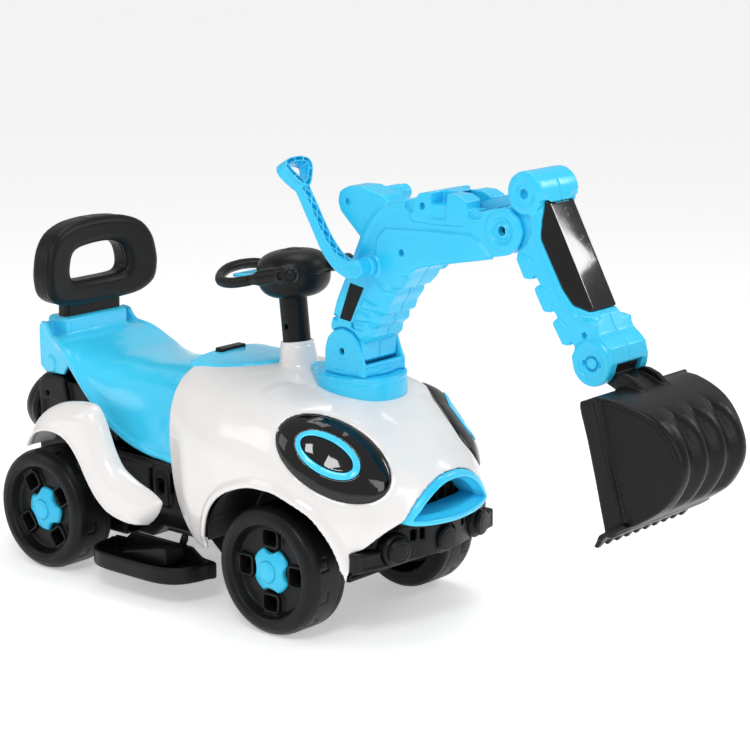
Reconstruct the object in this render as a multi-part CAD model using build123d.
from build123d import *
import os
from math import cos, sin, radians, pi

# Ride-on digger. Units are millimetres.
# +X points forward (towards the bucket), +Y to the left, +Z up.
# The origin is on the ground, on the centreline, midway between the axles.
# Points of side outlines are (x, z), of plan outlines (x, y), of end outlines (y, z).

# ---------------- driving dimensions ----------------
WHEEL_R = 75.0                  # tyre radius
WHEEL_W = 60.0                  # tyre width
AXLE_X = 191.7                  # front axle at +, rear axle at -
AXLE_Z = WHEEL_R
TRACK_OUT = 146.0               # outer face of the wheels
AXLE_R = 5.0                    # axle, stub and kingpin radius
AXLE_END = 134.0                # half length of the axles
FIT = 0.05                      # running clearance
SKIN = 3.5                      # body shell wall
SEAT_WALL = 3.2
SIDES = (-1, 1)                 # right, left

KINGPIN_Y = 72.0
ARM = 50.0                      # steering arm and crank length
TIE_PIN_X = AXLE_X - ARM
TIE_PIN_R = 4.0
COL_TOP = (105.9, 0.0, 357.2)   # two points of the steering axis
COL_LOW = (111.4, 0.0, 307.8)
COLUMN_R = 16.5

SWING_X = 212.0                 # vertical axis of the turret
SWING_R = 20.0
TURRET_R = 57.0
TURRET_TOP = 288.0

# arm hinges (x, z) and their pin radii
BOOM_PIVOT = (214.0, 315.0)     # boom foot
ELBOW = (438.0, 476.0)          # boom to stick
LINK_PIN = (467.0, 518.0)       # link rod on the stick head
LEVER_PIVOT = (257.0, 418.0)    # dig lever
CRANK_PIN = (LEVER_PIVOT[0] + LINK_PIN[0] - ELBOW[0],
             LEVER_PIVOT[1] + LINK_PIN[1] - ELBOW[1])
BUCKET_PIVOT = (557.0, 350.0)
BOOM_PIN_R = 4.0
ELBOW_PIN_R = 5.0
LINK_PIN_R = 4.0
CRANK_PIN_R = 3.5
BUCKET_PIN_R = 5.0
LEVER_SHAFT_R = 6.0             # lever shaft, right of the crank
CRANK_SHAFT_R = 5.0             # crank shaft, left of the crank

ARM_HALF = 33.0                 # half width of boom and stick
ARM_WALL = 3.0
HEAD_R = 8.5                    # pin heads in the arm sides
HEAD_SEAT_R = 9.0
HEAD_SEAT = ARM_HALF - 2.5      # y of the head seat
HEAD_FACE = ARM_HALF - 0.6      # y of the head's outer face

# small fixings, places are (x, z)
CARRIER_SCREW = (-244, 204)
CARRIER_SCREW_R = 3.1
SOCKET = (40, 80)
SOCKET_R = 6.0
PEDAL_X, PEDAL_Z = -40.0, 44.0
PEDAL_PIN_R = 3.0
SWITCH_PIN = (2, 281)
SWITCH_PIN_R = 1.0
GRIP = (222, 486)
GRIP_TENON_R = 6.0


# ---------------- helpers ----------------
def largest(shape):
    return max(shape.solids(), key=lambda s: s.volume)


def mirrored(shape):
    return mirror(shape, about=Plane.XZ)


def side_span(side, inner, outer):
    """y range from inner to outer on the left (+1), or its mirror on the right (-1)."""
    return (inner, outer) if side > 0 else (-outer, -inner)


def outline(points, corner_r):
    face = make_face(Polyline(*points, close=True))
    return fillet(face.vertices(), corner_r) if corner_r else face


def extrude_y(face, y0, y1):
    plane = Plane(origin=(0, y1, 0), x_dir=(1, 0, 0), z_dir=(0, -1, 0))
    return extrude(plane * face, amount=y1 - y0)


def xz(points, y0, y1, corner_r=0.0):
    """Side outline extruded from y0 to y1."""
    return extrude_y(outline(points, corner_r), y0, y1)


def xz_spline(points, y0, y1):
    """Smooth side outline extruded from y0 to y1."""
    return extrude_y(make_face(Spline(*points, periodic=True)), y0, y1)


def xy(points, z0, z1, corner_r=0.0):
    """Plan outline extruded from z0 to z1."""
    return extrude(Plane(origin=(0, 0, z0)) * outline(points, corner_r), amount=z1 - z0)


def yz_spline(points, x0, x1):
    """Smooth end outline extruded from x0 to x1."""
    plane = Plane(origin=(x0, 0, 0), x_dir=(0, 1, 0), z_dir=(1, 0, 0))
    return extrude(plane * make_face(Spline(*points, periodic=True)), amount=x1 - x0)


def box(x0, x1, y0, y1, z0, z1):
    return Pos((x0 + x1) / 2, (y0 + y1) / 2, (z0 + z1) / 2) * Box(x1 - x0, y1 - y0, z1 - z0)


def rod(start, end, r, end_r=None):
    """Cylinder (or cone) from start to end."""
    origin = Vector(*start)
    run = Vector(*end) - origin
    solid = Cylinder(r, run.length) if end_r is None else Cone(r, end_r, run.length)
    return Plane(origin=origin, z_dir=run) * Pos(0, 0, run.length / 2) * solid


def ycyl(x, z, r, y0, y1):
    return rod((x, y0, z), (x, y1, z), r)


def zcyl(x, y, r, z0, z1):
    return rod((x, y, z0), (x, y, z1), r)


def headed_pin(centre, pin_r, head_r, seat_y, face_y):
    """Cross pin with a round head at each end."""
    pin = ycyl(*centre, pin_r, -face_y, face_y)
    for side in SIDES:
        pin += ycyl(*centre, head_r, *side_span(side, seat_y, face_y))
    return pin


def head_seats(centre):
    """Cutters for the pin heads, right then left."""
    return [ycyl(*centre, HEAD_SEAT_R, *side_span(side, HEAD_SEAT, ARM_HALF + 1))
            for side in SIDES]


ARC_STEPS = 8


def crown(half_w, top_z, edge_z, exponent):
    """Superellipse arc from the centreline out to the left edge, as (y, z)."""
    points = []
    for i in range(ARC_STEPS + 1):
        t = pi / 2 * i / ARC_STEPS
        points.append((half_w * abs(sin(t)) ** (2 / exponent),
                       edge_z + (top_z - edge_z) * abs(cos(t)) ** (2 / exponent)))
    return points


def crown_spline(x, points):
    """The arc and its mirror image as one edge at station x."""
    both = [(-y, z) for y, z in reversed(points)][:-1] + points
    return Spline(*[Vector(x, y, z) for y, z in both]).edge()


# steering axis, pointing up and leaning back
STEER_DIR = (Vector(*COL_TOP) - Vector(*COL_LOW)).normalized()


def on_axis(z):
    """Point of the steering axis at height z."""
    t = (z - COL_LOW[2]) / STEER_DIR.Z
    return (COL_LOW[0] + STEER_DIR.X * t, 0.0, z)


CRANK_X = on_axis(84)[0]        # foot of the steering column

# ---------------- body form ----------------
# x, top z, z of greatest width, bottom z, half width, upper exponent, lower exponent
BODY = [
    (-16, 277, 178, 20, 106, 3.0, 2.3),
    (5, 278, 178, 18, 111, 3.0, 2.3),
    (60, 279, 165, 12, 132, 2.9, 2.6),
    (120, 279, 158, 8, 144, 2.9, 3.2),
    (192, 274, 150, 5, 148, 3.1, 4.0),
    (232, 269, 140, 5, 147, 2.8, 4.0),
    (262, 262, 122, 20, 144, 1.95, 4.0),
    (290, 247, 112, 40, 140, 1.7, 4.0),
    (312, 229, 108, 55, 128, 1.65, 4.0),
    (330, 213, 112, 70, 108, 1.8, 3.5),
    (343, 202, 124, 84, 78, 2.1, 3.0),
    (351, 192, 140, 100, 42, 2.2, 2.6),
]


def body_section(x, top_z, wide_z, low_z, half_w, upper, lower):
    """Closed section at station x: arched top, flat bottom."""
    top = crown_spline(x, crown(half_w, top_z, wide_z, upper))
    flank = []
    for i in range(ARC_STEPS):
        t = pi / 2 * i / ARC_STEPS
        flank.append((half_w * abs(cos(t)) ** (2 / lower),
                      wide_z - (wide_z - low_z) * abs(sin(t)) ** (2 / lower)))
    left = [Vector(x, y, z) for y, z in flank]
    right = [Vector(x, -y, z) for y, z in flank]
    return make_face(Wire([top, Spline(*left).edge(), Line(left[-1], right[-1]).edge(),
                           Spline(*right).edge()]))


def body_form(offset):
    """Solid body grown (or shrunk) by offset; unless grown, the bottom drops by 20."""
    drop = offset if offset > 0 else -20
    sections = []
    for i, (x, top_z, wide_z, low_z, half_w, upper, lower) in enumerate(BODY):
        if i == 0:
            x -= offset if offset > 0 else 1
        if i == len(BODY) - 1:
            x += offset
        if i == len(BODY) - 2 and offset < 0:
            x += offset * 0.8
        bottom = low_z - (drop if offset > 0 else 20)
        sections.append(body_section(x, top_z + offset, wide_z, bottom, half_w + offset,
                                     upper, lower))
    return loft(sections)


FORM = body_form(0.0)
INNER = body_form(-SKIN)
PROUD = body_form(3.0)
LENS_FORM = body_form(7.0)
LENS_RING_FORM = body_form(8.5)

# ---------------- front shell ----------------
# removes everything behind the shell's rear edge
REAR_TRIM = xz([(-60, 320), (-8, 320), (-5, 284), (2, 268), (6, 230), (10, 180), (18, 140),
                (28, 115), (45, 92), (62, 76), (76, 63), (76, 0), (-60, 0)], -170, 170)
UNDER_CUT = box(60, 380, -170, 170, -10, 92)


def wheel_arch(half_x, half_z):
    points = []
    for i in range(40):
        t = 2 * pi * i / 40
        points.append((AXLE_X + half_x * cos(t), AXLE_Z + half_z * sin(t)))
    return xz_spline(points, -175, 175)


ARCH_X, ARCH_Z = 108, 97        # half axes of the wheel arch
LIP_W = 7
ARCH = wheel_arch(ARCH_X, ARCH_Z)

# mouth outlines (y, z)
MOUTH = [(-78, 144), (-64, 160), (-46, 173), (-24, 186), (0, 191), (24, 186), (46, 173),
         (64, 160), (78, 144), (60, 139), (30, 137), (0, 136.5), (-30, 137), (-60, 139)]
MOUTH_IN = [(-62, 147), (-50, 157), (-36, 166), (-19, 176), (0, 180), (19, 176), (36, 166),
            (50, 157), (62, 147), (46, 146), (24, 145), (0, 144.5), (-24, 145), (-46, 146)]

# right headlight: centre, long axis and facing direction
EYE_CENTRE = Vector(259, -105, 212)
EYE_LONG = Vector(118, 58, -56).normalized()
EYE_FACING = Vector(0.551, -0.728, 0.408).normalized()


def eye_prism(half_long, half_short, depth):
    """Oval prism reaching depth to both sides of the headlight centre."""
    plane = Plane(origin=EYE_CENTRE, x_dir=EYE_LONG, z_dir=EYE_FACING)
    return extrude(plane * Pos(0, 0, -depth) * Ellipse(half_long, half_short),
                   amount=2 * depth)


def front_body_shell():
    under = UNDER_CUT + box(286, 380, -160, 160, 80, 113.6) + box(288, 380, -102, 102, 80, 132)
    mouth = [(y * 1.004, 160 + (z - 160) * 1.008) for y, z in MOUTH]
    eye = eye_prism(70.3, 44.3, 26)
    shell = FORM - INNER
    shell -= REAR_TRIM
    shell -= under
    shell -= ARCH
    shell -= yz_spline(mouth, 300, 372)
    shell -= eye
    shell -= mirrored(eye)
    shell -= zcyl(SWING_X, 0, SWING_R + 1, 200, 330)
    shell -= rod(on_axis(240), on_axis(330), 18.0)
    shell = largest(shell)
    # raised lips round the wheel arches, without the small scraps
    lips = (wheel_arch(ARCH_X + LIP_W, ARCH_Z + LIP_W) - ARCH) & (PROUD - FORM)
    lips = (lips - UNDER_CUT - box(0, 400, -130, 130, 0, 300)
            - box(284, 380, -150, 150, 80, 113.6) - REAR_TRIM)
    for lip in [s for s in lips.solids() if s.volume > 200]:
        shell = shell + lip
    return shell


def headlight():
    """Domed oval lens standing proud of the shell."""
    return largest((LENS_FORM & eye_prism(70, 44, 26)) - INNER)


def headlight_ring():
    """Oval ring on the lens."""
    ring = eye_prism(38, 24, 40) - eye_prism(28, 15.5, 40)
    return largest((LENS_RING_FORM & ring) - LENS_FORM)


def grille_ring():
    """Mouth-shaped frame in the nose."""
    return largest((yz_spline(MOUTH, 318, 372) & PROUD) - yz_spline(MOUTH_IN, 300, 372))


def dash_panel():
    """Panel on top of the shell in front of the seat, cut for the column and switch."""
    dash = xy([(-4, -58), (38, -56), (66, -42), (84, -26), (84, 26), (66, 42), (38, 56),
               (-4, 58)], 255, 284)
    dash -= FORM
    dash -= rod(on_axis(240), on_axis(330), 24.2)
    slot = box(-4.2, 8.2, -21, 21, 262, 300) + ycyl(*SWITCH_PIN, SWITCH_PIN_R + FIT, -24, 24)
    return largest(dash - slot)


def drive_switch():
    """Rocker in the dash slot, on its cross pin."""
    return box(-3.6, 7.6, -20, 20, 279.8, 286) + ycyl(*SWITCH_PIN, SWITCH_PIN_R, -23.5, 23.5)


def column_collar():
    """Tapered sleeve round the steering column."""
    collar = rod(on_axis(262), on_axis(307.5), 26, 19.2) - FORM
    collar -= rod(on_axis(230), on_axis(330), COLUMN_R + FIT)
    return largest(collar)


def turret_base():
    """Disc under the swing bracket, with a tab behind; it follows the shell underneath."""
    base = zcyl(SWING_X, 0, TURRET_R, 240, TURRET_TOP)
    tab = xz([(140, 278), (152, 286), (175, 288), (175, 270), (142, 270)], -16, 16)
    base = (base + tab) - FORM
    base -= zcyl(SWING_X, 0, SWING_R + FIT, 200, 330)
    base -= rod(on_axis(240), on_axis(330), 27)
    return largest(base)


# ---------------- chassis and drive ----------------
def chassis_tray():
    middle = box(-108, 68, -96.5, 96.5, 44, 158.5) - box(-104.5, 64.5, -93, 93, 47.5, 170)
    rear = box(-262, -104.5, -80, 80, 45, 150) - box(-258.5, -103, -76.5, 76.5, 48.5, 160)
    upright = box(-262, -125, -72, 72, 149, 222) - box(-258.5, -128.5, -68.5, 68.5, 140, 240)
    # floor and upstands under the front shell
    spine = box(64, 290, -42, 42, 44, 50)
    spine += box(222, 226, -42, 42, 50, 112) + box(286, 290, -42, 42, 50, 128)
    spine += box(222, 290, 38.5, 42, 50, 112) + box(222, 290, -42, -38.5, 50, 112)
    # the two beams that hold the kingpins, and the post between them
    beam_low = box(180, 204, -84, 84, 50, 57.5)
    beam_top = box(180, 204, -84, 84, 98, 106)
    post = box(183, 226, -14, 14, 50, 106)
    chassis = middle + rear + upright + spine + beam_low + beam_top + post
    for side in SIDES:
        # three slots in each flank
        for k in range(3):
            x = -52 + 17 * k
            chassis -= box(x, x + 6, *side_span(side, 90, 100), 118, 146)
        chassis -= zcyl(AXLE_X, side * KINGPIN_Y, AXLE_R + FIT, 40, 120)
    chassis -= ycyl(-AXLE_X, AXLE_Z, AXLE_R + FIT, -90, 90)
    chassis -= ycyl(*CARRIER_SCREW, CARRIER_SCREW_R + FIT, -80, 80)
    chassis -= ycyl(*SOCKET, SOCKET_R + 0.1, 90, 100)
    return largest(chassis)


def battery_pack():
    return fillet(box(-98, -28, -38, 38, 47.6, 108).edges().filter_by(Axis.Z), 4)


def drive_gearbox():
    """Gear case on the rear axle, with the motor across the chassis."""
    gear = box(-236, -150, 22, 74, 49, 112) + ycyl(-AXLE_X, AXLE_Z, 24, 16, 22)
    gear = gear + rod((-170, 22, 96), (-170, -38, 96), 15)
    gear -= ycyl(-AXLE_X, AXLE_Z, AXLE_R + FIT, 0, 90)
    return largest(gear)


def rear_axle():
    return ycyl(-AXLE_X, AXLE_Z, AXLE_R, -AXLE_END, AXLE_END)


def charge_socket():
    """Flanged sleeve in the left flank."""
    socket = ycyl(*SOCKET, SOCKET_R, 84, 98.5) + ycyl(*SOCKET, 8.5, 96.6, 98.5)
    return socket - ycyl(*SOCKET, 3.2, 88.5, 100)


def body_screws():
    """One screw in each flank of the rear upright."""
    return Compound(children=[ycyl(*CARRIER_SCREW, CARRIER_SCREW_R, *side_span(s, 67, 73.4))
                              for s in SIDES])


# tail drum ellipses: x, half width, half height
DRUM_OUT = [(-262.2, 80, 49), (-280, 77, 48), (-296, 68, 43), (-306, 52, 33), (-311, 30, 20)]
DRUM_IN = [(-262.0, 77, 46), (-280, 74, 45), (-294, 64, 40), (-303, 48, 29), (-308, 26, 16)]


def drum_loft(stations):
    return loft([Plane(origin=(x, 0, 178), x_dir=(0, 1, 0), z_dir=(1, 0, 0))
                 * Ellipse(half_w, half_h) for x, half_w, half_h in stations])


def tail_drum():
    """Hollow rounded casing at the rear, open towards the chassis."""
    return largest(drum_loft(DRUM_OUT) - drum_loft(DRUM_IN))


# ---------------- rear fenders ----------------
FENDER_OUT = [(-222, 120), (-219, 146), (-208, 176), (-188, 200), (-160, 213), (-125, 222),
              (-96, 224), (-78, 210), (-60, 182), (-42, 160), (-14, 148), (14, 131), (6, 100),
              (1, 84), (-33, 90), (-62, 98), (-84, 116), (-100, 143), (-118, 164),
              (-148, 180), (-178, 182), (-200, 172), (-212, 152)]
FENDER_IN = [(-214, 152), (-203, 176), (-185, 196), (-160, 208), (-125, 217.5), (-98, 219.5),
             (-82, 207), (-64, 180), (-45, 156.5), (-17, 144), (7, 128), (2, 104), (-3, 90),
             (-34, 95), (-60, 103), (-80, 121), (-96, 148), (-115, 169), (-148, 186),
             (-180, 188), (-202, 176), (-211, 156)]
# strip along the rear edge of the front shell
FENDER_FRONT_CUT = [(-15, 250), (2, 250), (6, 230), (10, 180), (18, 140), (28, 115), (45, 92),
                    (50, 60), (26, 60), (14, 100), (4, 120), (-2, 160), (-8, 230)]


def rear_fender():
    """Right fender, hollow towards the chassis."""
    fender = xz_spline(FENDER_OUT, -150, -97.2)
    fender -= xz_spline(FENDER_IN, -147, -90)
    fender -= box(-230, -108.2, -101, -90, 60, 151)
    fender -= ycyl(-AXLE_X, AXLE_Z, WHEEL_R + 7, -160, -90)
    fender = fender - xz(FENDER_FRONT_CUT, -125, -90)
    return largest(fender)


# ---------------- footrests and pedal ----------------
def footrest_tray():
    """Right-hand open tray with a flange up the chassis side."""
    outer = [(-100, -96.7), (-100, -132), (-86, -150), (-60, -157), (20, -157), (44, -148),
             (58, -128), (62, -96.7)]
    inner = [(-96, -99.7), (-96, -131), (-83, -147), (-59, -153.5), (19, -153.5), (42, -145),
             (54.5, -127), (58.5, -99.7)]
    tray = xy(outer, 30, 50) - xy(inner, 34, 60)
    return tray + box(-90, 40, -99.7, -96.7, 34, 62)


def footrest_right():
    """Tray with two hinge blocks that carry the pedal pin."""
    bore_r = PEDAL_PIN_R + FIT
    tray = footrest_tray() - ycyl(PEDAL_X, PEDAL_Z, bore_r, -146, -106)
    for y in (-147, -110):
        tray += (box(PEDAL_X - 6, PEDAL_X + 6, y, y + 5, 34, 51)
                 - ycyl(PEDAL_X, PEDAL_Z, bore_r, -160, -90))
    return tray


def footrest_left():
    return mirrored(footrest_tray())


def accelerator_pedal():
    pedal = xz([(-46, 47.5), (-46, 52.5), (24, 67), (27, 63), (26, 60), (-36, 47.5)],
               -141, -111, 1.0)
    pedal += ycyl(PEDAL_X, PEDAL_Z, PEDAL_PIN_R, -147, -105)
    return pedal + box(PEDAL_X - 2.5, PEDAL_X + 2.5, -141, -111, PEDAL_Z, 50)


# ---------------- seat ----------------
# x, top z, edge z, half width, exponent
SEAT = [
    (-262, 285, 266, 76, 5.0),
    (-240, 288, 268, 84, 5.0),
    (-222, 288, 262, 89, 4.4),
    (-186, 286, 237, 91, 3.2),
    (-150, 279, 213, 92, 2.7),
    (-110, 272, 186, 93, 2.4),
    (-66, 268, 166, 94.5, 2.4),
    (-30, 269, 163, 96.5, 2.5),
    (0, 271, 164.5, 102, 2.7),
    (14, 271, 168, 104, 2.8),
]


def seat_section(x, top_z, edge_z, half_w, exponent, inset, skirt):
    """Arched section whose straight sides reach skirt below the edge."""
    edge_y = half_w - inset
    arc = crown(edge_y, top_z - inset, edge_z, exponent)
    arc[-1] = (edge_y, edge_z)
    low_z = edge_z - skirt
    corners = [Vector(x, edge_y, edge_z), Vector(x, edge_y, low_z),
               Vector(x, -edge_y, low_z), Vector(x, -edge_y, edge_z)]
    lines = [Line(a, b).edge() for a, b in zip(corners, corners[1:])]
    return make_face(Wire([crown_spline(x, arc)] + lines))


def seat():
    body = loft([seat_section(*station, 0, 3) for station in SEAT])
    x_shift = [SEAT_WALL] + [0] * (len(SEAT) - 2) + [1]
    hollow = loft([seat_section(x + shift, *rest, SEAT_WALL, 33)
                   for shift, (x, *rest) in zip(x_shift, SEAT)])
    # block that takes the backrest post
    block = box(-272, -240, -50, 50, 262, 296)
    block = fillet(block.edges().filter_by(Axis.Z), 10)
    body = (body + block) - hollow
    body -= box(-262, -246, -34, 34, 262, 298)
    # rear skirt
    body += box(-262, -258.8, -76, 76, 229, 268)
    return largest(body)


# backrest outlines (y, z)
BACK_OUT = [(-92, 352), (-88, 384), (-72, 404), (-44, 415), (0, 418), (44, 415), (72, 404),
            (88, 384), (92, 352), (84, 328), (60, 315), (0, 312), (-60, 315), (-84, 328)]
BACK_IN = [(-50, 350), (-48, 370), (-40, 381), (-20, 386), (0, 388), (20, 386), (40, 381),
           (48, 370), (50, 350), (46, 344), (20, 343), (0, 343), (-20, 343), (-46, 344)]


def backrest():
    """Padded ring on a post that plugs into the seat block."""
    back = yz_spline(BACK_OUT, -258, -221) - yz_spline(BACK_IN, -262, -215)
    # the kernel may refuse this fillet; the outer edges then stay sharp
    try:
        ends = back.faces().sort_by(Axis.X)
        back = fillet(ends[-1].outer_wire().edges() + ends[0].outer_wire().edges(), 7)
    except Exception:
        pass
    post = box(-256, -241, -46, 46, 296.1, 320) + box(-261.8, -246.2, -33.8, 33.8, 268, 300)
    return back + post


# ---------------- bumper ----------------
BUMPER = [(296, -137), (318, -131), (334, -96), (344, -55), (348, 0), (344, 55), (334, 96),
          (318, 131), (296, 137), (288, 131), (292, 120), (314, 88), (322, 50), (324, 0),
          (322, -50), (314, -88), (292, -120), (288, -131)]
BUMPER_UPPER = [(292, -98), (326, -66), (334, -30), (335, 0), (334, 30), (326, 66), (292, 98),
                (290.2, 96), (290.2, -96)]
LAMPS = [(348, 0), (340, -70), (340, 70)]       # x of the rim, y
LAMP_Z = 110
LAMP_R = 16


def lamp_stage(x, y, start, end, r):
    """Forward-facing cylinder between two offsets from x."""
    return rod((x + start, y, LAMP_Z), (x + end, y, LAMP_Z), r)


def bumper():
    bar = xy(BUMPER, 91, 113)
    bar = fillet(bar.edges().filter_by(Axis.Z), 2.5)
    bar += xy(BUMPER_UPPER, 112, 131.5)
    bar += box(290.2, 330, -30, 30, 60, 92)
    for x, y in LAMPS:
        bar -= lamp_stage(x, y, -14, 20, LAMP_R + FIT)
    return largest(bar)


def bumper_lamps():
    """Three stepped round lamps."""
    return Compound(children=[
        lamp_stage(x, y, -14, -1, LAMP_R) + lamp_stage(x, y, -1, 4, 13)
        + lamp_stage(x, y, 4, 6, 10) for x, y in LAMPS])


# ---------------- steering ----------------
def steering_column():
    """Tube with a cross hole, a rod down to the crank, and the crank's pin."""
    column = rod(on_axis(262), on_axis(368), COLUMN_R)
    column -= rod(on_axis(266), on_axis(380), COLUMN_R - 3)
    column += rod(on_axis(84), on_axis(268), 6.0)
    column += box(CRANK_X - ARM - 6, CRANK_X + 6, -6, 6, 80, 88)
    column += zcyl(CRANK_X - ARM, 0, TIE_PIN_R, 62, 82)
    column -= ycyl(on_axis(326)[0], 326, 2.6, -30, 30)
    return largest(column)


# Steering wheel pieces are drawn flat, z along the steering axis and x forward,
# and then set on this plane.
WHEEL_PLANE = Plane(origin=on_axis(388), x_dir=(STEER_DIR.Z, 0, -STEER_DIR.X),
                    z_dir=(STEER_DIR.X, STEER_DIR.Y, STEER_DIR.Z))
# hub sections: x, z, length, width, corner radius
HUB = [(4, -29, 58, 62, 24), (5, -20, 76, 84, 30), (6, 0, 84, 88, 34), (6, 16, 78, 82, 32),
       (6, 26, 52, 56, 22)]
# centreline of the rim (x, y, z)
RIM = [(46, -47, 4), (10, -53, 4), (-28, -58, 3), (-54, -44, 2), (-62, -20, 2), (-63, 0, 2),
       (-62, 20, 2), (-54, 44, 2), (-28, 58, 3), (10, 53, 4), (46, 47, 4)]
RIM_R = 9.2
HORN_X, HORN_R = 6, 12.0
PLATE_X = -38


def steering_wheel():
    hub = loft([Pos(x, 0, z) * RectangleRounded(length, width, corner)
                for x, z, length, width, corner in HUB])
    path = Spline(*RIM)
    rim = sweep(Plane(origin=path @ 0, z_dir=path % 0) * Circle(RIM_R), path=path)
    wheel = hub + rim
    wheel -= Pos(0, 0, -30) * Cylinder(COLUMN_R + 0.02, 26)
    wheel -= Pos(HORN_X, 0, 20) * Cylinder(HORN_R + 0.1, 24)
    wheel -= Pos(PLATE_X, 0, 1) * Box(40, 84, 4)
    return WHEEL_PLANE * largest(wheel)


def steering_plate():
    """Flat plate set in the rear of the wheel."""
    return WHEEL_PLANE * extrude(Pos(PLATE_X, 0, -0.9) * RectangleRounded(39, 83, 8),
                                 amount=3.8)


def horn_button():
    return WHEEL_PLANE * (Pos(HORN_X, 0, 20.5) * Cylinder(HORN_R, 16))


def knuckle():
    """Right knuckle: kingpin, block, stub axle, and arm with its pin."""
    y = -KINGPIN_Y
    kingpin = zcyl(AXLE_X, y, AXLE_R, 48, 108)
    block = box(AXLE_X - 9, AXLE_X + 9, y - 9, y + 9, 62, 96)
    stub = ycyl(AXLE_X, AXLE_Z, AXLE_R, -AXLE_END, y)
    arm = box(TIE_PIN_X - 6, AXLE_X - 5, y - 5, y + 5, 76, 82)
    return kingpin + block + stub + arm + zcyl(TIE_PIN_X, y, TIE_PIN_R, 62, 78)


def tie_rod():
    """Cross bar between the knuckle arms, with a slotted tongue for the crank pin."""
    x0, x1, y1 = TIE_PIN_X - 8, TIE_PIN_X + 8, KINGPIN_Y + 8
    bar = xy([(x0, -y1), (x1, -y1), (x1, y1), (x0, y1)], 64, 70, 4)
    bar += box(CRANK_X - ARM - 14, TIE_PIN_X, -11, 11, 64, 70)
    for side in SIDES:
        bar -= zcyl(TIE_PIN_X, side * KINGPIN_Y, TIE_PIN_R + FIT, 50, 90)
    return bar - box(CRANK_X - ARM - 9, CRANK_X - ARM + 9, -4.8, 4.8, 50, 90)


# ---------------- wheels ----------------
# Right-hand pieces about the Y axis at the origin.
FACE_Y = -TRACK_OUT             # outer face


def wheel():
    """Dished wheel with four pockets in the outer dish."""
    back_y = FACE_Y + WHEEL_W
    bore_r = AXLE_R + FIT
    profile = [         # radius, y
        (bore_r, FACE_Y + 14), (16, FACE_Y + 14), (18, FACE_Y + 18), (50, FACE_Y + 18),
        (54, FACE_Y), (64, FACE_Y), (72, FACE_Y + 3), (WHEEL_R, FACE_Y + 10),
        (WHEEL_R, back_y - 10), (72, back_y - 3), (62, back_y), (52, back_y),
        (48, back_y - 22), (18, back_y - 22), (16, back_y), (bore_r, back_y)]
    solid = revolve(Plane.XY * outline(profile, 0), axis=Axis.Y)
    for k in range(4):
        solid -= Rot(0, k * 90, 0) * Pos(0, FACE_Y + 18, 40) * Box(21, 12, 15)
    return solid


def hub_cap():
    """Four-armed cap with a round boss, hollow behind."""
    cap = ycyl(0, 0, 26, FACE_Y + 4, FACE_Y + 13.8)
    for k in range(4):
        cap -= Rot(0, k * 90, 0) * Pos(0, FACE_Y + 9, 30) * Rot(90, 0, 0) * Cylinder(11, 30)
    cap += ycyl(0, 0, 12, FACE_Y + 1, FACE_Y + 6)
    return cap - ycyl(0, 0, 11, FACE_Y + 7, FACE_Y + 20)


def nut():
    return ycyl(0, 0, 9, FACE_Y + 8.2, FACE_Y + 13.5) - ycyl(0, 0, AXLE_R, -160, -100)


def front_nut():
    return Pos(AXLE_X, 0, AXLE_Z) * nut()


def rear_axle_nuts():
    right = Pos(-AXLE_X, 0, AXLE_Z) * nut()
    return Compound(children=[right, mirrored(right)])


# ---------------- swing bracket ----------------
EAR = [(188.5, 290), (188.5, 315), (192, 328), (200, 337), (214, 341), (228, 337), (236, 328),
       (239.5, 315), (240, 302), (246, 300), (246, 290)]


def swing_bracket():
    """Disc on the turret with a flanged spigot below and two ears for the boom foot."""
    floor_z = TURRET_TOP + FIT
    bracket = zcyl(SWING_X, 0, 37, floor_z, 294) + zcyl(SWING_X, 0, SWING_R, 236, 290)
    bracket += zcyl(SWING_X, 0, 27, 232, 236)
    for side in SIDES:
        bracket += xz(EAR, *side_span(side, 30.6, 36))
    bracket += box(240, 246, -36, 36, floor_z, 301)
    bracket = bracket - ycyl(*BOOM_PIVOT, BOOM_PIN_R + FIT, -50, 50)
    for side in SIDES:
        bracket -= ycyl(*BOOM_PIVOT, 7.2, *side_span(side, 33.5, 37))
    return largest(bracket)


# ---------------- boom ----------------
BOOM = [(194, 342), (203, 373), (219, 406), (238, 448), (249, 466), (264, 484), (278, 490),
        (307, 497), (407, 493), (443, 500), (462, 484), (462, 468), (454, 455), (407, 442),
        (352, 431), (316, 421), (302, 415), (298, 408), (287, 394), (284, 386), (276, 384),
        (274, 372), (264, 370), (262, 358), (254, 355), (252, 342), (262, 336), (262, 326),
        (246, 320), (240, 332), (230, 339), (214, 344), (205, 342), (199, 336), (195, 337)]
BOOM_FOOT = [(199, 336), (195, 325), (196, 306), (205, 297), (214, 295), (224, 297),
             (233, 306), (240, 318), (252, 322), (262, 328), (262, 345), (214, 352)]
# lug that carries the rear grip
BOOM_LUG = [(238, 448), (209, 474), (205, 486), (209, 497), (222, 503), (240, 504), (270, 496),
            (278, 488), (262, 470)]
BOOM_TOP_BLOCK = [(312, 478), (316, 500), (322, 505), (378, 501), (388, 494), (388, 478)]
BOOM_HOLLOW = [(207, 356), (210, 372), (226, 406), (245, 446), (256, 463), (268, 479),
               (282, 486), (308, 492), (402, 488.5), (408, 486), (408, 450), (352, 436),
               (312, 426), (297, 417), (282, 397), (268, 380), (258, 366), (248, 350),
               (232, 346)]
LINK_SLOT = [(262, 470), (262, 484), (300, 487.5), (330, 496.5), (388, 515), (425, 527),
             (425, 465), (300, 455)]
CRANK_ROOM = [(257, 400), (246, 420), (246, 478), (264, 480), (292, 471), (316, 442),
              (300, 420), (282, 404)]
LABEL = [(236, 400), (247, 392), (222, 352), (212, 358)]
SCREWS = [(201, 352), (228, 346), (300, 437), (330, 492)]
LUG_HALF = 26.0                 # left face of the lug


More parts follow.
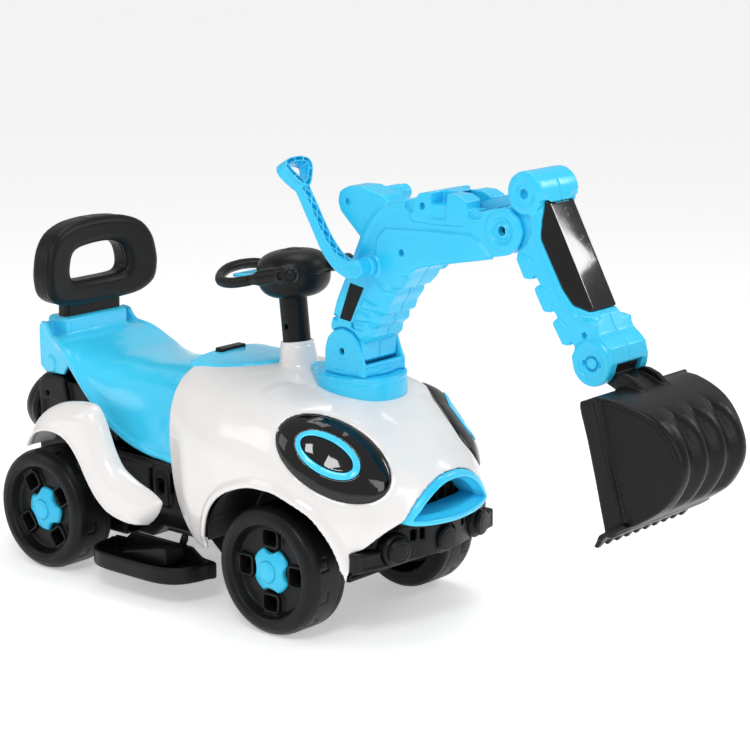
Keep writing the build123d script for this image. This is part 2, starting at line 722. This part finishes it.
def boom_half(side):
    right = side < 0
    half = xz(BOOM, *side_span(side, 0, ARM_HALF))
    half = half + xz(BOOM_FOOT, *side_span(side, 0, 30.0))
    half += xz(BOOM_LUG, *side_span(side, 0, ARM_HALF if right else LUG_HALF))
    half += xz(BOOM_TOP_BLOCK, *side_span(side, 0, ARM_HALF))
    half -= xz(BOOM_HOLLOW, *side_span(side, -1, ARM_HALF - ARM_WALL))
    # fork round the elbow
    fork = side_span(side, -1, 26.8)
    half -= ycyl(*ELBOW, 33, *fork)
    # outer face of the foot, between the bracket ears
    half -= ycyl(*BOOM_PIVOT, 26.9, *side_span(side, 30.2, 34))
    half -= box(400, 480, *fork, 452, 520)
    # room for the link rod, the crank and the crank hub
    half -= xz(LINK_SLOT, *side_span(side, -1, 9))
    half -= xz(CRANK_ROOM, *side_span(side, -1, 16.3 if right else 9))
    half -= ycyl(*LEVER_PIVOT, 11.5, *side_span(side, -1, 24.6 if right else 9))
    # pin bores and head seats
    half -= ycyl(*BOOM_PIVOT, BOOM_PIN_R, -50, 50)
    half -= ycyl(*ELBOW, ELBOW_PIN_R, -50, 50)
    for seat_cut in head_seats(ELBOW):
        half -= seat_cut
    if right:
        half -= ycyl(*LEVER_PIVOT, LEVER_SHAFT_R + FIT, -50, 50)
    else:
        half -= ycyl(*LEVER_PIVOT, CRANK_SHAFT_R + FIT, 0, ARM_HALF - 1)
    for screw in SCREWS:
        half -= ycyl(*screw, 3.6, -ARM_HALF - 1, -ARM_HALF + 2.0)
    return largest(half)


def boom_shell_right():
    """Right half, with the lever boss and the label recess."""
    boss = ycyl(*LEVER_PIVOT, 13, -37, -30) - ycyl(*LEVER_PIVOT, LEVER_SHAFT_R + FIT, -50, 0)
    half = boom_half(-1) + boss
    return half - xz(LABEL, -ARM_HALF - 1, -ARM_HALF + 0.8)


def boom_shell_left():
    """Left half, bored for the grip's tenon."""
    return boom_half(1) - ycyl(*GRIP, GRIP_TENON_R, 10, 40)


def boom_label():
    return xz(LABEL, -ARM_HALF - 0.2, -ARM_HALF + 0.8)


def rear_grip():
    return ycyl(*GRIP, 9, LUG_HALF, 68) + ycyl(*GRIP, GRIP_TENON_R, 12, LUG_HALF)


def boom_screws():
    return Compound(children=[ycyl(*screw, 3.4, -ARM_HALF + 0.6, -ARM_HALF + 2.0)
                              for screw in SCREWS])


def boom_pins():
    """Foot pin and elbow pin."""
    return Compound(children=[headed_pin(BOOM_PIVOT, BOOM_PIN_R, 7.0, 33.6, 35.8),
                              headed_pin(ELBOW, ELBOW_PIN_R, HEAD_R, HEAD_SEAT, HEAD_FACE)])


# ---------------- dig lever, crank and link ----------------
LEVER = [(262, 409), (245, 406), (226, 415), (208, 432), (193, 456), (178, 481), (168, 500),
         (176, 505), (188, 487), (202, 465), (215, 446), (230, 431), (246, 426), (262, 427)]
LEVER_X, LEVER_Z = LEVER_PIVOT
FLAT_Z = LEVER_Z + 4.0          # flat on the lever shaft that keys the crank
CRANK_Y = (-15.8, -5.2)         # crank plate


def dig_lever():
    """Curved lever outside the boom, with a ring grip and a flatted shaft."""
    lever = xz(LEVER, -63, -49)
    lever += ycyl(*LEVER_PIVOT, 12, -63, -37.2)
    plane = Plane(origin=(166, -56, 515), x_dir=(0, 1, 0), z_dir=(0.86, 0, 0.51))
    lever += extrude(plane * Pos(0, 0, -6) * Ellipse(23, 17), amount=12)
    lever -= extrude(plane * Pos(0, 0, -8) * Ellipse(14, 9), amount=16)
    lever += ycyl(*LEVER_PIVOT, LEVER_SHAFT_R, -40, -16)
    lever = largest(lever)
    return lever - box(LEVER_X - 8, LEVER_X + 8, -24, -15.9, FLAT_Z, LEVER_Z + 8)


def link_bar(start, end, half_w, y0, y1):
    """Round-ended bar between two (x, z) points."""
    run = Vector(end[0] - start[0], 0, end[1] - start[1]).normalized()
    dx, dz = -run.Z * half_w, run.X * half_w
    corners = [(start[0] + dx, start[1] + dz), (end[0] + dx, end[1] + dz),
               (end[0] - dx, end[1] - dz), (start[0] - dx, start[1] - dz)]
    return xz(corners, y0, y1) + ycyl(*start, half_w, y0, y1) + ycyl(*end, half_w, y0, y1)


def lever_crank():
    """Crank keyed to the lever shaft, with its own shaft and link pin to the left."""
    crank = link_bar(LEVER_PIVOT, CRANK_PIN, 7.5, *CRANK_Y)
    crank = crank + ycyl(*LEVER_PIVOT, 10.5, -24, CRANK_Y[1])
    crank -= ycyl(*LEVER_PIVOT, LEVER_SHAFT_R, -40, CRANK_Y[0])
    crank += box(LEVER_X - 4.4, LEVER_X + 4.4, -24, CRANK_Y[0], FLAT_Z, LEVER_Z + 6.5)
    crank = crank + ycyl(*LEVER_PIVOT, CRANK_SHAFT_R, -6, ARM_HALF - 1.2)
    return crank + ycyl(*CRANK_PIN, CRANK_PIN_R, -6, 5.4)


def link_rod():
    link = link_bar(CRANK_PIN, LINK_PIN, 5.5, -5.0, 5.0)
    link = link + ycyl(*CRANK_PIN, 7.0, -5, 5) + ycyl(*LINK_PIN, 8, -5, 5)
    link -= ycyl(*CRANK_PIN, CRANK_PIN_R + FIT, -10, 10)
    return link - ycyl(*LINK_PIN, LINK_PIN_R + FIT, -10, 10)


# ---------------- stick ----------------
STICK = [(500, 532), (503, 515), (512, 492), (530, 458), (552, 420), (568, 396), (575, 378),
         (566, 350), (540, 340), (520, 356), (513, 362), (505, 372), (497, 384), (490, 394),
         (485, 404), (478, 414), (471, 418), (463, 428), (455, 444), (460, 452), (470, 462),
         (476, 478), (474, 500)]
STICK_HEAD = [(450, 528), (467, 538), (488, 538), (500, 530), (500, 505), (474, 498),
              (452, 508)]
STICK_TONGUE = [(425, 492), (450, 508), (474, 500), (476, 478), (460, 456), (440, 453)]
STICK_HOLLOW = [(480, 500), (500, 494), (526, 450), (548, 414), (556, 392), (548, 376),
                (528, 372), (512, 380), (490, 414), (474, 436), (478, 456), (484, 478)]
STICK_LINK_ROOM = [(470, 526), (398, 536), (390, 490), (410, 451.5), (473, 511)]
COVER = [(478, 524), (492, 531), (503, 519), (520, 490), (545, 446), (560, 418), (552, 404),
         (540, 402), (524, 414), (502, 448), (484, 486)]
COVER_HOLLOW = [(470, 520), (486, 520), (497, 512), (514, 486), (538, 442), (552, 416),
                (546, 404), (540, 398), (520, 400), (490, 440), (470, 486)]
BUCKET_X, BUCKET_Z = BUCKET_PIVOT


def swing_corner(degrees_up):
    """Point 60 from the bucket pivot in the given direction."""
    angle = radians(degrees_up)
    return (BUCKET_X + 60 * cos(angle), BUCKET_Z + 60 * sin(angle))


def stick_half(side):
    full = side_span(side, 0, ARM_HALF)
    half = xz(STICK, *full)
    half += ycyl(*LINK_PIN, 20, *full)
    half += xz(STICK_HEAD, *full)
    # clear of the boom fork, then the tongue inside it
    half -= ycyl(*ELBOW, 29, -50, 50)
    tongue = side_span(side, 0, 26.3)
    half += ycyl(*ELBOW, 24, *tongue)
    half += xz(STICK_TONGUE, *tongue)
    # barrel, and the slot where the bucket neck swings
    half += ycyl(*BUCKET_PIVOT, 24, *side_span(side, 0, 35))
    neck = side_span(side, -1, 22.6)
    half -= ycyl(*BUCKET_PIVOT, 20.6, *neck)
    half -= xz([BUCKET_PIVOT, swing_corner(38), (BUCKET_X + 60, BUCKET_Z - 60),
                swing_corner(-112)], *neck)
    half -= xz(STICK_HOLLOW, *side_span(side, -1, ARM_HALF - ARM_WALL))
    # link rod room in the head
    room = side_span(side, -1, 7)
    half -= ycyl(*LINK_PIN, 12, *room)
    half -= xz(STICK_LINK_ROOM, *room)
    # pin bores and head seats
    half -= ycyl(*LINK_PIN, LINK_PIN_R, -50, 50)
    half -= ycyl(*ELBOW, ELBOW_PIN_R + FIT, -50, 50)
    half -= ycyl(*BUCKET_PIVOT, BUCKET_PIN_R, -33, 33)
    for seat_cut in head_seats(LINK_PIN):
        half -= seat_cut
    half -= xz(COVER, -60, 60)
    return largest(half)


def stick_shell_right():
    return stick_half(-1)


def stick_shell_left():
    return stick_half(1)


def stick_cover():
    """Cover over the front and both sides of the stick."""
    outer, inner = ARM_HALF + 1.2, ARM_HALF - 2
    return largest(xz(COVER, -outer, outer) - xz(COVER_HOLLOW, -inner, inner))


def stick_pins():
    """Link pin and bucket pin."""
    return Compound(children=[headed_pin(LINK_PIN, LINK_PIN_R, HEAD_R, HEAD_SEAT, HEAD_FACE),
                              ycyl(*BUCKET_PIVOT, BUCKET_PIN_R, -33, 33)])


# ---------------- bucket ----------------
BUCKET_OUT = [(570, 324), (595, 330), (625, 329), (653, 324), (678, 312), (690, 290),
              (693, 268), (686, 246), (668, 221), (640, 203), (608, 183), (603, 190)]
BUCKET_IN = [(560, 330), (600, 324), (625, 324), (652, 319), (673, 308), (684, 288),
             (687, 268), (681, 249), (664, 226), (637, 208), (590, 180), (555, 185),
             (530, 300)]
BUCKET_RIB = [(640, 327), (658, 326), (684, 314), (695, 292), (697, 268), (690, 244),
              (672, 219), (650, 206), (655, 212), (672, 230), (686, 250), (690, 268),
              (687, 288), (676, 308), (652, 322)]
BAND_HALF = 85                  # half width of the lip band and cutting edge


def bucket():
    shell = xz(BUCKET_OUT, -78, 78) - xz(BUCKET_IN, -74, 74)
    # wider band round the mouth
    band = xz([(570, 324), (595, 330), (632, 198), (608, 183)], -BAND_HALF, BAND_HALF)
    band = band - xz([(560, 330), (600, 321), (640, 190), (560, 170)], -79.5, 79.5)
    band -= xz([(560, 330), (575, 318), (611, 186), (560, 170)], -79.5, 79.5)
    shell += band
    for y in (-50, -17, 17, 50):
        shell += xz(BUCKET_RIB, y - 9, y + 9)
    # toothed cutting edge
    teeth = xz([(632, 196), (608, 181), (597, 174), (596, 178), (606, 187)],
               -BAND_HALF, BAND_HALF)
    for y in range(-68, 80, 34):
        teeth -= xz([(590, 190), (604, 188), (603, 176), (592, 166)], y - 6, y + 6)
    shell += teeth
    # neck up to the hinge ring inside the barrel
    neck = xz([(BUCKET_X + 2, BUCKET_Z - 8), (BUCKET_X + 18, BUCKET_Z + 2), (606, 338),
               (622, 328), (600, 322), (580, 322)], -21, 21)
    shell += neck + ycyl(*BUCKET_PIVOT, 20, -22, 22)
    shell -= ycyl(*BUCKET_PIVOT, BUCKET_PIN_R + FIT, -40, 40)
    return largest(shell)


# ---------------- export ----------------
os.makedirs("parts", exist_ok=True)


def save(name, shape):
    export_step(shape, f"parts/{name}.step")


def save_pair(name, right):
    """Save a right-hand piece and its mirror image."""
    save(name + "_right", right)
    save(name + "_left", mirrored(right))


# each file takes the name of the function that builds it
for build in (front_body_shell, grille_ring, dash_panel, drive_switch, column_collar,
              turret_base, chassis_tray, battery_pack, drive_gearbox, rear_axle,
              charge_socket, body_screws, tail_drum, footrest_right, footrest_left,
              accelerator_pedal, seat, backrest, bumper, bumper_lamps, steering_column,
              steering_wheel, steering_plate, horn_button, tie_rod, rear_axle_nuts,
              swing_bracket, boom_shell_right, boom_shell_left, boom_label, rear_grip,
              boom_screws, boom_pins, dig_lever, lever_crank, link_rod,
              stick_shell_right, stick_shell_left, stick_cover, stick_pins, bucket):
    save(build.__name__, build())

for build in (headlight, headlight_ring, rear_fender, knuckle, front_nut):
    save_pair(build.__name__, build())

# wheels and caps: axle, x, turn about the axle in degrees
for build in (wheel, hub_cap):
    for axle, x, turn in (("front", AXLE_X, 0), ("rear", -AXLE_X, 35)):
        save_pair(f"{build.__name__}_{axle}", Pos(x, 0, AXLE_Z) * (Rot(0, -turn, 0) * build()))
